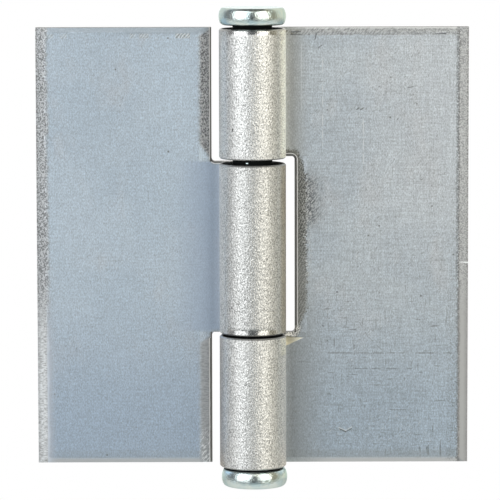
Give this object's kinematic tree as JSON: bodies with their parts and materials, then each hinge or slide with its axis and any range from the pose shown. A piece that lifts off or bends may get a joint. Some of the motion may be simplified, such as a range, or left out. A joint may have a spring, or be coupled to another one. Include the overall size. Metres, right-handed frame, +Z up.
{
  "type": "weld-on hinge",
  "caption": "Flat steel weld-on hinge: leaves rolled into interleaved knuckles on a riveted pin, for welding to a gate, door or hatch and its frame.",
  "frame": {"origin": "on the pin axis, at the mid-height of the leaves", "axes": "+Z up the pin, +X from the pin to the outer edge of the frame leaf (the one with the upper and lower knuckles), +Y towards the back of the leaves, where they are welded on"},
  "size_m": [0.0986, 0.0152, 0.1092],
  "materials": {
    "leaf_steel": "bare rolled mild steel, satin blue-grey with a fine mill texture; the rolled knuckles are brighter and pebbled",
    "pin_zinc": "bright zinc plate with a faint blue-green passivation"
  },
  "bodies": {
    "frame_leaf": {"frame_leaf": "leaf_steel"},
    "door_leaf": {"door_leaf": "leaf_steel"},
    "pin": {"hinge_pin": "pin_zinc"}
  },
  "joints": [
    {"name": "leaf_swing", "type": "hinge", "parent": "frame_leaf", "child": "door_leaf", "pos_m": [0, 0, 0], "axis": [0, 0, 1], "range_deg": [-95, 180]},
    {"name": "pin_spin", "type": "hinge", "parent": "frame_leaf", "child": "pin", "pos_m": [0, 0, 0], "axis": [0, 0, 1], "continuous": true}
  ]
}
